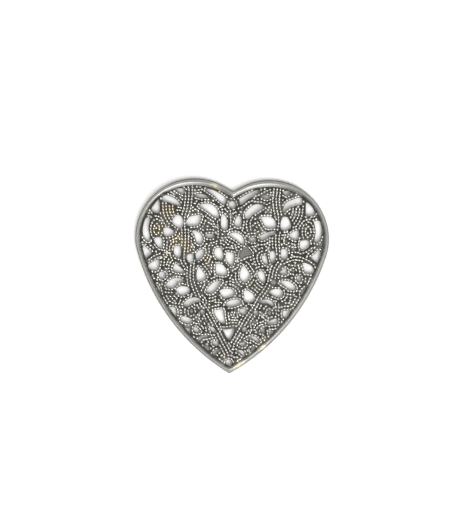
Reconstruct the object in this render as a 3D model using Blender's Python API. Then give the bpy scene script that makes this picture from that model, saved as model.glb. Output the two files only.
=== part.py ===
"""Heart stamping: a flat openwork heart in antiqued silver plate, struck from thin brass sheet.

Two sub-parts lie in the XY plane, face up:
    rim_frame       the smooth raised border, a rounded roof in section and hollow behind
    openwork_panel  the pierced sheet inside it, with its windows and small blind pockets

The origin is the middle of the heart's box, on the plane that it rests on. +X is to its
right, +Y points to the notch between the lobes and +Z comes out of the face.
Outlines are written in millimetres and turned into metres when the meshes are made.
"""

import math

import bmesh
import bpy
from mathutils import Vector
from mathutils.geometry import delaunay_2d_cdt

MM = 0.001

# Driving dimensions, in millimetres.
HEART_WIDTH = 45.0
RIM_WIDTH = 1.20
LOBE_EXTRA_WIDTH = 0.42
LOBE_SWELL_POWER = 8
RIM_EDGE_HEIGHT = 0.55
RIM_SHOULDER_HEIGHT = 0.85
RIM_CREST_RISE_HEIGHT = 1.48
RIM_CREST_HEIGHT = 1.50
RIM_CREST_FALL_HEIGHT = 1.46
RIM_INNER_HEIGHT = 1.05
RIM_LIP = 0.26
RIM_HOLLOW_HEIGHT = 0.80
# How far across the rim its section turns, as shares of its width from the outer edge.
RIM_SHOULDER = 0.10
RIM_CREST_RISE = 0.46
RIM_CREST = 0.54
RIM_CREST_FALL = 0.62
SEAM = 0.03
EDGE_STRIP = 0.15
PANEL_UNDERSIDE = 0.50
PANEL_TOP = 1.00
POCKET_DEPTH = 0.25

# The outline's right half as arcs, from the notch clockwise to the tip: radius and turn.
# The last arc runs on until it meets the middle line.
NOTCH_HEIGHT = 19.9
NOTCH_HEADING = 30.8
NOTCH_ARC = (36.1, 4.8)
LOBE_ARC = (13.9, 117.7)
SIDE_ARC = (10.9, 14.5)
ARM_RADIUS = 48.5
ARM_LONGEST_TURN = 60.0

# How finely the lines are stepped. Lengths are in millimetres.
STATIONS = 76
ARC_STEPS = 90
WINDOW_STEP = 0.62
WINDOW_FEWEST_POINTS = 8
ROUND_WINDOW_STEP = 0.31
CLOSEST_POINTS = 0.18
ON_AXIS = 1e-6
SAME_POINT = 1e-5
SHARP_ANGLE = 25.0

# Base colour and roughness of the two finishes.
POLISHED = ((0.62, 0.61, 0.58), 0.28)
ANTIQUED = ((0.42, 0.41, 0.38), 0.42)

# Windows cut right through the sheet, each a smooth closed line through its points.
LEFT_LOBE_WINDOWS = (
    ((-17.4, 17.35), (-17.05, 17.1), (-17.05, 14.55), (-18.2, 14.5), (-18.95, 14.95), (-18.4, 16.1)),
    ((-16.45, 17.1), (-16.35, 18.0), (-15.5, 18.55), (-13.9, 18.0), (-12.9, 17.3), (-11.95, 16.1),
     (-13.3, 16.3), (-15.2, 16.95)),
    ((-19.6, 13.35), (-19.05, 13.1), (-19.45, 10.7), (-19.05, 8.7), (-19.2, 7.75), (-19.75, 7.8),
     (-20.4, 8.5), (-20.75, 9.5), (-20.8, 10.6), (-20.55, 12.0), (-20.15, 13.0)),
    ((-12.8, 14.0), (-11.9, 13.7), (-11.4, 12.8), (-11.6, 11.2), (-12.5, 11.0), (-14.05, 12.2),
     (-13.4, 13.6)),
    ((-10.3, 13.35), (-9.4, 13.85), (-8.3, 14.05), (-7.2, 13.9), (-7.85, 11.9), (-8.9, 11.55),
     (-10.0, 11.5), (-10.85, 11.9)),
    ((-15.9, 10.9), (-14.7, 10.9), (-13.3, 9.8), (-14.6, 9.0), (-15.8, 9.15)),
    ((-18.15, 8.3), (-17.4, 8.7), (-16.2, 8.4), (-16.25, 6.25), (-16.9, 6.25), (-17.8, 7.3)),
    ((-9.4, 10.1), (-8.7, 10.45), (-7.2, 9.6), (-6.75, 8.4), (-7.3, 7.3), (-8.3, 7.7), (-8.6, 9.1)),
    ((-13.4, 19.7), (-12.9, 20.05), (-11.6, 20.15), (-11.2, 19.8), (-11.6, 18.85), (-12.5, 19.2)),
    ((-9.0, 18.5), (-8.2, 18.95), (-7.2, 18.95), (-5.4, 18.2), (-7.2, 18.0)),
    ((-6.5, 20.0), (-6.0, 20.2), (-4.6, 19.9), (-3.3, 19.3), (-2.25, 18.6), (-1.45, 17.9),
     (-1.6, 17.3), (-2.0, 16.6), (-3.3, 17.5), (-4.4, 18.6), (-5.5, 19.3)),
    ((-8.0, 16.2), (-7.2, 16.65), (-6.0, 16.8), (-4.9, 16.6), (-3.9, 15.8), (-3.3, 14.8),
     (-3.2, 13.5), (-4.4, 13.8), (-6.3, 15.2)),
    ((-6.25, 9.55), (-5.2, 9.75), (-4.2, 9.55), (-4.25, 8.95), (-5.2, 8.75), (-6.15, 9.0)),
    ((-7.9, 5.6), (-7.2, 6.05), (-6.35, 6.0), (-6.6, 4.7), (-7.3, 3.9), (-8.05, 3.5), (-8.4, 4.8)),
    ((-10.3, 4.75), (-9.6, 5.0), (-8.85, 4.8), (-8.9, 3.7), (-9.15, 2.75), (-9.8, 2.8), (-10.4, 3.8)),
    ((-13.3, 6.65), (-12.0, 6.75), (-11.75, 5.7), (-12.0, 4.2), (-12.9, 4.2), (-13.5, 5.3)),
)
RIGHT_LOBE_WINDOWS = (
    ((17.0, 17.4), (17.45, 17.4), (18.4, 16.5), (19.0, 15.5), (19.0, 14.7), (18.2, 14.5),
     (17.1, 14.45), (16.95, 15.5)),
    ((11.6, 15.5), (11.9, 16.6), (12.4, 17.4), (13.2, 17.85), (15.2, 18.6), (15.95, 18.55),
     (16.05, 17.0), (15.2, 16.85), (13.2, 16.2), (11.8, 15.0)),
    ((18.8, 13.1), (19.3, 13.4), (20.15, 13.3), (20.6, 12.3), (20.75, 11.0), (20.7, 9.8),
     (20.2, 8.6), (19.7, 8.15), (19.1, 8.5), (19.35, 10.6), (19.05, 12.4)),
    ((11.8, 14.05), (12.7, 14.05), (13.65, 12.2), (13.2, 11.3), (12.4, 10.9), (11.45, 11.0),
     (11.15, 11.9), (11.3, 13.2)),
    ((6.6, 13.8), (7.6, 14.05), (8.7, 14.0), (9.6, 13.5), (10.1, 12.6), (10.1, 11.6),
     (9.0, 11.4), (7.8, 11.5), (7.35, 12.2)),
    ((13.2, 9.9), (14.6, 10.9), (15.4, 10.9), (15.45, 9.8), (15.2, 9.0), (14.6, 8.75), (13.4, 9.3)),
    ((15.75, 8.3), (16.5, 8.7), (17.5, 8.65), (18.05, 8.1), (17.8, 7.2), (16.6, 6.3), (15.95, 6.5)),
    ((10.1, 10.8), (9.2, 10.65), (7.2, 10.0), (6.3, 9.4), (6.4, 8.7), (7.0, 8.55), (7.9, 8.95),
     (8.8, 9.6), (10.0, 10.0)),
    ((11.55, 19.5), (11.9, 20.0), (13.0, 20.05), (13.4, 19.8), (13.0, 19.3), (12.2, 19.0)),
    ((6.75, 18.5), (7.4, 18.85), (8.4, 18.85), (8.75, 18.5), (8.2, 18.15), (7.3, 18.15)),
    ((1.45, 18.0), (2.4, 18.65), (3.6, 19.35), (5.0, 20.0), (5.9, 20.15), (6.4, 19.95),
     (5.5, 19.25), (3.4, 17.85), (2.0, 16.65), (1.6, 16.8), (1.55, 17.4)),
    ((2.9, 13.6), (2.85, 14.6), (3.4, 15.5), (4.2, 16.3), (5.1, 16.8), (6.2, 16.85), (7.4, 16.3),
     (6.3, 15.5), (4.6, 14.3), (3.5, 13.3)),
    ((4.0, 8.95), (5.4, 9.05), (5.6, 8.45), (4.9, 8.05), (4.1, 8.3)),
    ((6.95, 4.7), (7.4, 5.0), (8.0, 4.9), (8.45, 3.1), (8.2, 2.7), (7.2, 3.7)),
    ((8.75, 5.4), (9.2, 6.0), (9.8, 6.0), (10.2, 5.4), (10.2, 4.5), (9.5, 3.2), (9.1, 3.8)),
    ((11.5, 6.45), (12.2, 6.6), (12.9, 6.3), (13.0, 4.9), (12.5, 4.35), (11.6, 4.2), (11.45, 5.3)),
)
CENTRE_WINDOWS = (
    ((-2.4, 14.5), (-1.75, 14.1), (-1.2, 13.2), (-1.05, 12.2), (-1.2, 11.0), (-1.7, 10.65),
     (-2.4, 11.0), (-2.65, 12.0), (-2.7, 13.4)),
    ((1.4, 14.05), (1.95, 13.8), (2.1, 12.8), (1.9, 11.75), (1.2, 11.5), (0.55, 11.75),
     (0.4, 12.4), (0.9, 13.75)),
    ((-0.7, 9.85), (0.3, 10.2), (1.3, 10.1), (2.1, 9.6), (2.7, 8.8), (2.95, 8.0), (2.6, 7.3),
     (1.8, 7.8), (0.9, 8.5), (-0.6, 9.3)),
    ((-3.85, 6.4), (-3.1, 6.65), (-2.35, 6.4), (-1.95, 4.3), (-2.4, 3.65), (-3.1, 3.9),
     (-3.9, 4.5), (-4.1, 5.4)),
    ((-1.25, 5.6), (-0.3, 5.5), (0.55, 5.3), (0.6, 4.0), (0.1, 2.4), (-0.6, 2.9), (-1.4, 4.0)),
    ((-3.5, 2.9), (-2.6, 2.85), (-1.8, 2.45), (-0.95, 1.1), (-1.05, 0.3), (-1.9, 0.15),
     (-3.5, 0.45), (-3.65, 1.5)),
    ((3.0, 2.5), (4.0, 1.1), (4.5, 0.4), (4.2, -0.3), (3.3, -1.4), (2.8, -1.3), (2.2, -0.8),
     (2.0, 0.2), (2.1, 1.4), (2.5, 2.3)),
    ((-7.7, 2.0), (-7.1, 1.6), (-5.8, -0.4), (-7.2, -1.4), (-7.85, -1.2), (-8.1, 0.5)),
    ((6.0, 0.9), (6.6, 1.3), (7.2, 1.4), (7.9, 0.1), (7.85, -1.1), (7.4, -1.35), (6.5, -0.4)),
    ((-5.8, -3.8), (-5.4, -2.8), (-4.7, -2.0), (-3.8, -1.35), (-2.15, -1.1), (-3.0, -2.5),
     (-4.2, -3.9), (-5.1, -4.1)),
    ((-2.65, -3.4), (-1.9, -2.95), (-0.8, -2.85), (0.3, -3.1), (0.95, -3.7), (0.4, -4.55),
     (-1.5, -5.15), (-2.3, -4.3)),
    ((2.95, -3.4), (3.6, -3.15), (4.4, -3.5), (5.65, -4.6), (5.4, -5.6), (4.6, -6.0),
     (3.1, -5.8), (3.1, -4.6)),
    ((-1.3, -6.7), (-0.7, -5.9), (0.2, -5.5), (1.2, -5.35), (2.1, -5.6), (2.65, -6.15),
     (0.9, -6.9), (-0.2, -7.1)),
    ((2.2, -7.65), (3.8, -7.65), (3.85, -8.2), (3.4, -8.75), (2.7, -8.85), (2.25, -8.4)),
    ((-3.95, -8.05), (-3.1, -7.85), (-1.8, -7.7), (-1.55, -8.6), (-1.45, -9.6), (-1.15, -10.9),
     (-1.8, -11.0), (-2.6, -10.6), (-3.1, -9.8), (-3.7, -8.8)),
    ((-1.65, -12.4), (-0.8, -12.4), (0.3, -12.2), (1.05, -12.15), (0.8, -13.1), (0.05, -14.6),
     (-0.5, -14.65), (-1.2, -13.4)),
)
LEFT_ARM_WINDOWS = (
    ((-20.35, 6.75), (-19.8, 6.2), (-18.55, 5.05), (-19.3, 4.3), (-19.95, 3.55), (-20.25, 3.7),
     (-20.6, 4.7), (-20.8, 5.9)),
    ((-19.35, 2.0), (-18.9, 2.65), (-18.0, 3.15), (-16.7, 3.5), (-17.15, 1.2), (-18.2, 1.05),
     (-19.1, 1.2)),
    ((-16.7, 0.5), (-16.1, 0.7), (-15.15, 0.0), (-16.0, -1.05), (-16.85, -0.3)),
    ((-13.2, 2.6), (-12.3, 2.2), (-10.75, 0.65), (-12.8, 0.75), (-13.6, 1.2)),
    ((-15.1, -2.3), (-14.6, -1.5), (-13.6, -0.85), (-12.5, -0.6), (-11.5, -0.85), (-10.8, -1.45),
     (-12.4, -1.8), (-13.3, -2.9), (-14.9, -2.95)),
    ((-12.9, -3.5), (-12.2, -2.8), (-11.2, -2.55), (-10.2, -2.7), (-9.45, -3.3), (-10.0, -4.2),
     (-11.5, -4.75), (-12.4, -4.1)),
    ((-17.95, -2.35), (-17.2, -2.25), (-16.6, -3.0), (-16.3, -4.5), (-17.3, -3.5)),
    ((-11.0, -7.1), (-10.7, -6.2), (-10.0, -5.6), (-9.1, -5.2), (-8.1, -5.1), (-7.2, -5.4),
     (-6.7, -6.0), (-8.4, -6.3), (-9.9, -7.2)),
    ((-14.7, -7.6), (-13.8, -7.45), (-12.8, -7.6), (-12.55, -8.6), (-12.6, -9.75), (-13.3, -9.5),
     (-14.0, -8.7)),
    ((-11.5, -9.8), (-10.8, -9.5), (-10.0, -9.75), (-8.6, -10.35), (-9.2, -11.05), (-10.2, -11.1),
     (-11.4, -10.6)),
    ((-10.7, -12.4), (-10.0, -12.3), (-9.3, -12.45), (-9.3, -13.6), (-9.9, -13.2)),
    ((-8.5, -12.2), (-7.9, -12.0), (-7.0, -12.8), (-7.3, -13.25), (-8.3, -13.1)),
    ((-6.95, -8.1), (-6.2, -7.95), (-5.9, -8.4), (-6.1, -8.9), (-6.8, -9.1)),
    ((-4.6, -12.0), (-3.9, -11.95), (-3.1, -13.1), (-3.7, -13.15), (-4.4, -12.8)),
    ((-7.5, -15.1), (-7.2, -14.5), (-6.6, -14.05), (-5.8, -13.85), (-5.0, -13.85), (-4.3, -14.1),
     (-5.4, -14.4), (-6.3, -14.6), (-6.9, -15.3)),
    ((-4.1, -15.3), (-3.6, -15.15), (-2.9, -15.25), (-2.55, -15.8), (-2.7, -16.25), (-3.7, -16.1)),
    ((-3.85, -18.4), (-3.85, -17.8), (-3.45, -17.3), (-2.65, -17.05), (-1.8, -17.25),
     (-2.9, -17.75), (-3.4, -18.5)),
)
RIGHT_ARM_WINDOWS = (
    ((20.9, 8.3), (20.9, 7.3), (20.5, 7.05), (20.25, 7.3), (20.6, 7.9)),
    ((20.1, 6.5), (20.6, 6.2), (20.65, 5.2), (20.35, 4.1), (20.05, 3.6), (19.4, 3.85),
     (18.4, 4.85), (19.2, 5.5)),
    ((16.5, 3.5), (17.9, 3.2), (18.7, 2.7), (19.2, 2.1), (18.9, 1.15), (17.9, 1.1), (17.05, 1.15),
     (16.8, 2.2)),
    ((15.25, 0.4), (15.9, 0.45), (16.2, -0.2), (15.9, -0.95), (15.25, -0.5)),
    ((11.0, 0.95), (12.1, 1.95), (12.75, 2.1), (12.9, 0.8), (12.0, 0.65)),
    ((11.2, -1.25), (11.8, -0.85), (12.6, -0.75), (13.5, -0.95), (14.4, -1.55), (15.0, -2.2),
     (15.0, -2.85), (13.4, -2.8), (12.8, -2.2), (11.9, -1.7)),
    ((8.9, -3.5), (9.6, -2.9), (10.5, -2.7), (11.5, -2.8), (12.15, -3.4), (11.8, -4.4),
     (11.2, -4.7), (10.0, -4.35)),
    ((17.1, -2.3), (17.8, -2.4), (17.4, -3.6), (16.5, -4.6), (16.2, -4.0), (16.3, -3.2)),
    ((6.4, -5.95), (6.9, -5.5), (7.8, -5.25), (8.8, -5.25), (9.6, -5.6), (10.2, -6.8),
     (9.3, -6.5), (8.5, -6.15), (7.2, -6.1)),
    ((12.15, -7.9), (13.0, -7.7), (14.5, -7.75), (14.0, -8.8), (13.2, -9.55), (12.7, -9.55),
     (12.2, -9.1)),
    ((8.4, -10.8), (9.5, -10.0), (10.8, -9.6), (10.9, -10.8), (9.8, -10.95), (8.8, -11.1)),
    ((8.95, -12.5), (9.6, -12.4), (10.3, -12.5), (9.9, -13.1), (9.2, -13.65)),
    ((7.2, -12.3), (7.85, -12.0), (8.0, -12.9), (7.3, -13.1)),
    ((5.2, -8.2), (5.9, -7.9), (6.5, -8.1), (6.4, -8.8), (5.8, -8.9)),
    ((3.0, -11.9), (3.7, -11.8), (4.0, -12.4), (3.4, -12.9), (2.8, -12.7)),
    ((4.1, -14.1), (4.9, -13.8), (5.9, -13.95), (6.6, -14.5), (6.95, -15.0), (6.6, -15.3),
     (6.0, -15.0), (5.3, -14.5), (4.5, -14.35)),
    ((2.2, -15.5), (2.9, -15.3), (3.7, -15.3), (3.7, -15.8), (3.3, -16.2), (2.5, -16.2)),
    ((1.2, -17.3), (1.9, -17.1), (2.8, -17.15), (3.5, -17.8), (3.6, -18.5), (3.2, -18.7),
     (2.8, -18.1), (2.1, -17.6)),
)

# Round holes, as centre and radius: the hanging eye under the notch, and the one at the tip.
ROUND_WINDOWS = (
    ((-0.15, 16.6), 0.85),
    ((-0.15, -20.05), 0.72),
)

# Blind pockets struck into the face but not cut through.
POCKETS = (
    ((3.3, 6.85), (4.75, 5.2), (3.35, 4.75), (2.25, 4.1), (2.0, 4.9), (2.2, 5.9)),
    ((12.25, 8.35), (12.6, 8.7), (12.95, 8.35), (12.6, 8.0)),
    ((9.2, -1.2), (9.8, -0.6), (10.5, -1.2), (9.9, -1.8)),
    ((13.9, 1.5), (14.35, 1.9), (14.8, 1.5), (14.35, 1.1)),
    ((13.9, 6.5), (14.35, 6.9), (14.8, 6.5), (14.35, 6.1)),
    ((8.7, -8.4), (9.1, -7.9), (9.5, -8.4), (9.1, -8.9)),
    ((-9.4, -8.2), (-9.05, -7.8), (-8.7, -8.3), (-9.05, -8.8)),
    ((5.3, -10.5), (5.65, -10.15), (6.0, -10.5), (5.65, -10.9)),
    ((-5.9, -10.6), (-5.55, -10.3), (-5.2, -10.6), (-5.55, -10.95)),
    ((-6.0, -16.35), (-5.1, -16.2), (-4.75, -17.0), (-5.1, -17.5)),
    ((5.1, -16.4), (5.9, -16.3), (5.9, -16.9), (5.2, -17.5)),
)


def clear_scene():
    """Start from an empty scene."""
    for item in list(bpy.data.objects):
        bpy.data.objects.remove(item, do_unlink=True)


def metal(name, colour, roughness):
    """A plated metal finish."""
    material = bpy.data.materials.new(name)
    material.use_nodes = True
    shader = material.node_tree.nodes["Principled BSDF"]
    shader.inputs["Base Color"].default_value = (*colour, 1.0)
    shader.inputs["Roughness"].default_value = roughness
    shader.inputs["Metallic"].default_value = 1.0
    return material


def arc_points(start, heading, radius, turn, count):
    """Points along a clockwise arc, as (place, heading), without its first point."""
    centre = start + radius * Vector((math.sin(heading), -math.cos(heading)))
    points = []
    for step in range(1, count + 1):
        angle = heading - turn * step / count
        place = centre + radius * Vector((-math.sin(angle), math.cos(angle)))
        points.append((place, angle))
    return points


def half_outline():
    """The right half of the heart's outline, finely stepped, as (place, heading)."""
    points = [(Vector((0.0, NOTCH_HEIGHT)), math.radians(NOTCH_HEADING))]
    for radius, turn in (NOTCH_ARC, LOBE_ARC, SIDE_ARC, (ARM_RADIUS, ARM_LONGEST_TURN)):
        place, heading = points[-1]
        points += arc_points(place, heading, radius, math.radians(turn), ARC_STEPS)
    widest = max(place.x for place, heading in points)
    stretch = HEART_WIDTH / 2 / widest
    return [(place * stretch, heading) for place, heading in points]


def rim_width(heading):
    """The rim's width, which swells where the outline runs level, over each lobe."""
    return RIM_WIDTH + LOBE_EXTRA_WIDTH * max(0.0, math.cos(heading)) ** LOBE_SWELL_POWER


def inset_half(share, extra=0.0):
    """The half outline moved inwards by a share of the rim's width, from axis to axis."""
    moved = []
    for place, heading in half_outline():
        inwards = Vector((math.sin(heading), -math.cos(heading)))
        moved.append(place + inwards * (share * rim_width(heading) + extra))
    first, second = moved[0], moved[1]
    slope = (second.y - first.y) / (second.x - first.x)
    start = Vector((0.0, first.y - first.x * slope))
    crossing = next(i for i in range(len(moved) // 2, len(moved)) if moved[i].x <= ON_AXIS)
    before, after = moved[crossing - 1], moved[crossing]
    end = before.lerp(after, before.x / (before.x - after.x))
    between = [point for point in moved[:crossing] if point.x > ON_AXIS]
    return [start, *between, Vector((0.0, end.y))]


def even_steps(line, count):
    """The same line in equal steps, its two ends kept."""
    lengths = [0.0]
    for a, b in zip(line, line[1:]):
        lengths.append(lengths[-1] + (b - a).length)
    result = []
    segment = 0
    for step in range(count + 1):
        target = lengths[-1] * step / count
        while segment < len(line) - 2 and lengths[segment + 1] < target:
            segment += 1
        span = lengths[segment + 1] - lengths[segment]
        result.append(line[segment].lerp(line[segment + 1], (target - lengths[segment]) / span))
    return result


def heart_loop(share, extra=0.0):
    """A whole closed heart line, clockwise from the notch."""
    right = even_steps(inset_half(share, extra), STATIONS)
    left = [Vector((-point.x, point.y)) for point in reversed(right[1:-1])]
    return right + left


def smooth_line(corners):
    """A closed smooth line through the corners, every corner kept."""
    points = [Vector(corner) for corner in corners]
    total = len(points)
    fewest = math.ceil(WINDOW_FEWEST_POINTS / total)
    line = []
    for i in range(total):
        before, start = points[i - 1], points[i]
        end, after = points[(i + 1) % total], points[(i + 2) % total]
        steps = max(fewest, round((end - start).length / WINDOW_STEP))
        for step in range(steps):
            t = step / steps
            line.append(0.5 * (2 * start + (end - before) * t
                               + (2 * before - 5 * start + 4 * end - after) * t ** 2
                               + (3 * start - before - 3 * end + after) * t ** 3))
    return line


def inside(point, loop):
    """Whether a point lies within a closed line."""
    crossings = 0
    for a, b in zip(loop, loop[1:] + loop[:1]):
        if (a.y > point.y) != (b.y > point.y):
            if point.x < a.x + (point.y - a.y) / (b.y - a.y) * (b.x - a.x):
                crossings += 1
    return crossings % 2 == 1


def nearest_on(loop, point):
    """The point of a closed line that is nearest to a given point."""
    best = None
    for a, b in zip(loop, loop[1:] + loop[:1]):
        share = max(0.0, min(1.0, (point - a).dot(b - a) / (b - a).length_squared))
        candidate = a.lerp(b, share)
        if best is None or (candidate - point).length < (best - point).length:
            best = candidate
    return best


def circle_loop(centre, radius):
    """A round hole's line."""
    count = max(WINDOW_FEWEST_POINTS, round(2 * math.pi * radius / ROUND_WINDOW_STEP))
    turns = [2 * math.pi * i / count for i in range(count)]
    return [Vector(centre) + radius * Vector((math.cos(a), math.sin(a))) for a in turns]


def cut_loop(corners):
    """A smooth closed cut, held a strip's width inside the panel's edge."""
    limit = heart_loop(1.0, SEAM + EDGE_STRIP)
    line = []
    for point in smooth_line(corners):
        held = point if inside(point, limit) else nearest_on(limit, point)
        if not line or (held - line[-1]).length > CLOSEST_POINTS:
            line.append(held)
    if (line[0] - line[-1]).length <= CLOSEST_POINTS:
        line.pop()
    return line


def window_loops():
    """Every opening of the panel."""
    groups = (LEFT_LOBE_WINDOWS, RIGHT_LOBE_WINDOWS, CENTRE_WINDOWS,
              LEFT_ARM_WINDOWS, RIGHT_ARM_WINDOWS)
    loops = [cut_loop(corners) for group in groups for corners in group]
    return loops + [circle_loop(centre, radius) for centre, radius in ROUND_WINDOWS]


def make_object(name, mesh_data, material):
    """Turn a finished bmesh, in millimetres, into a named object in metres."""
    bmesh.ops.scale(mesh_data, vec=(MM, MM, MM), verts=mesh_data.verts)
    bmesh.ops.recalc_face_normals(mesh_data, faces=mesh_data.faces)
    mesh = bpy.data.meshes.new(name)
    mesh_data.to_mesh(mesh)
    mesh_data.free()
    mesh.materials.append(material)
    mesh.shade_smooth()
    mesh.set_sharp_from_angle(angle=math.radians(SHARP_ANGLE))
    item = bpy.data.objects.new(name, mesh)
    bpy.context.scene.collection.objects.link(item)
    return item


def rim_section():
    """The rim's section as (share of width, extra inset, height), round from the outer foot."""
    return (
        (0.0, 0.0, 0.0),
        (0.0, 0.0, RIM_EDGE_HEIGHT),
        (RIM_SHOULDER, 0.0, RIM_SHOULDER_HEIGHT),
        (RIM_CREST_RISE, 0.0, RIM_CREST_RISE_HEIGHT),
        (RIM_CREST, 0.0, RIM_CREST_HEIGHT),
        (RIM_CREST_FALL, 0.0, RIM_CREST_FALL_HEIGHT),
        (1.0, 0.0, RIM_INNER_HEIGHT),
        (1.0, 0.0, 0.0),
        (1.0, -RIM_LIP, 0.0),
        (RIM_CREST, 0.0, RIM_HOLLOW_HEIGHT),
        (0.0, RIM_LIP, 0.0),
    )


def build_rim(material):
    """The raised border: its section carried round the heart and closed on itself."""
    data = bmesh.new()
    rings = []
    for share, extra, height in rim_section():
        ring = [data.verts.new((p.x, p.y, height)) for p in heart_loop(share, extra)]
        rings.append(ring)
    for ring, above in zip(rings, rings[1:] + rings[:1]):
        for i in range(len(ring)):
            data.faces.new((ring[i - 1], ring[i], above[i], above[i - 1]))
    return make_object("rim_frame", data, material)


def panel_plan(outer, windows, pockets):
    """The panel's flat plan as a triangulated sheet, with the faces of its pockets."""
    points = []
    borders = []
    for loop in [outer, *windows, *pockets]:
        first = len(points)
        points += loop
        borders += [(first + i, first + (i + 1) % len(loop)) for i in range(len(loop))]
    places, _, triangles, *_ = delaunay_2d_cdt(points, borders, [], 0, SAME_POINT)
    data = bmesh.new()
    verts = [data.verts.new((p.x, p.y, PANEL_TOP)) for p in places]
    pocket_faces = []
    for triangle in triangles:
        centre = sum((places[i] for i in triangle), Vector((0.0, 0.0))) / 3
        if not inside(centre, outer) or any(inside(centre, loop) for loop in windows):
            continue
        face = data.faces.new([verts[i] for i in triangle])
        if any(inside(centre, loop) for loop in pockets):
            pocket_faces.append(face)
    loose = [vert for vert in data.verts if not vert.link_faces]
    bmesh.ops.delete(data, geom=loose, context="VERTS")
    return data, pocket_faces


def build_panel(material):
    """The pierced sheet: windows cut through, pockets pressed in, one sheet thick."""
    outer = heart_loop(1.0, SEAM)
    windows = window_loops()
    pockets = [cut_loop(corners) for corners in POCKETS]
    data, pocket_faces = panel_plan(outer, windows, pockets)
    sheet = list(data.faces)
    under = bmesh.ops.extrude_face_region(data, geom=sheet, use_keep_orig=True)
    lowered = [item for item in under["geom"] if isinstance(item, bmesh.types.BMVert)]
    bmesh.ops.translate(data, verts=lowered, vec=(0.0, 0.0, PANEL_UNDERSIDE - PANEL_TOP))
    pressed = bmesh.ops.extrude_face_region(data, geom=pocket_faces)
    floors = [item for item in pressed["geom"] if isinstance(item, bmesh.types.BMVert)]
    bmesh.ops.translate(data, verts=floors, vec=(0.0, 0.0, -POCKET_DEPTH))
    bmesh.ops.delete(data, geom=pocket_faces, context="FACES")
    return make_object("openwork_panel", data, material)


def centre_on_box(items):
    """Move the pieces together so that the heart's box is centred on the origin."""
    corners = [item.data.vertices[i].co for item in items for i in range(len(item.data.vertices))]
    middle = (min(c.y for c in corners) + max(c.y for c in corners)) / 2
    for item in items:
        item.location.y = -middle


def main():
    """Build the heart."""
    clear_scene()
    rim = build_rim(metal("polished_silver_plate", *POLISHED))
    panel = build_panel(metal("antiqued_silver_plate", *ANTIQUED))
    centre_on_box((rim, panel))


if __name__ == "__main__":
    main()
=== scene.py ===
"""Looks of the openwork heart: a smooth raised rim round a pierced field of beaded scrollwork.

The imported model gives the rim's shape, the levels of the field and the line of every window. The
rim is smoothed from its solid, and the field is made again from those lines. Domed beads stand in
strings along them, and along the stems and scrolls that are listed here.
"""

from __future__ import annotations

import logging
import math
from dataclasses import dataclass, field
from enum import Enum

import bmesh
import bpy
import numpy as np
from mathutils import Matrix, Vector
from mathutils.kdtree import KDTree


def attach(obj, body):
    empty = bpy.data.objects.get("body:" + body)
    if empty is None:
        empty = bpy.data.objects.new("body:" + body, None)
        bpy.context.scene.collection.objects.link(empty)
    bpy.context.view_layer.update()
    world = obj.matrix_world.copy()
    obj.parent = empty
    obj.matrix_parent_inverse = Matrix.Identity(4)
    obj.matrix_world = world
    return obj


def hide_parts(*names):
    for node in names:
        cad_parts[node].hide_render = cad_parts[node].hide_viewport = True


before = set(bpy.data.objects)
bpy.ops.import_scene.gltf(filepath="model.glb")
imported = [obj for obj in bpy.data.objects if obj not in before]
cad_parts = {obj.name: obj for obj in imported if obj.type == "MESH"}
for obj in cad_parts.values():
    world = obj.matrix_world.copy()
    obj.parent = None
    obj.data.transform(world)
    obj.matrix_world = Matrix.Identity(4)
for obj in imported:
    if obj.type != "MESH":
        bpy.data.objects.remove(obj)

MM = 0.001
RIGHT_ANGLE = math.pi / 2
SAME_POINT = 1e-7  # Metres: points nearer than this are one.
LEVEL = 1e-6  # Metres: how far off a face's level its edges may lie.
THROUGH = 1e-5  # Metres: how far above the underside a window's walls may end.
UPRIGHT = 0.5  # A face whose normal leans up by less than this is a wall.
EDGE_PARTS = 2  # Parts in each stretch of an edge that is modelled.
ROW_PARTS = 3  # Parts in each stretch of an edge that beads follow.
STRING_PARTS = 12  # Parts in each stretch of a string's middle line.
OVAL_PARTS = 12  # Points round an oval.
MIX_COLOURS = (6, 7)  # The colour inputs of a Mix node.
MIX_RESULT = 2  # Its colour output.
log = logging.getLogger("heart")

Place = tuple[float, float]
Colour = tuple[float, float, float]


class Node(Enum):
    """The solids that the looks are built around."""

    RIM = "rim_frame"
    PANEL = "openwork_panel"


class Slot(Enum):
    """The record's finishes."""

    POLISHED = "polished_plate"
    ANTIQUED = "antiqued_plate"


class Cut(Enum):
    """What a closed line on the panel's face is."""

    OUTER = "outer"
    WINDOW = "window"
    POCKET = "pocket"


Loop = list[Vector]
Lines = dict[Cut, list[Loop]]
Box = tuple[float, float, float, float]


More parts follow.
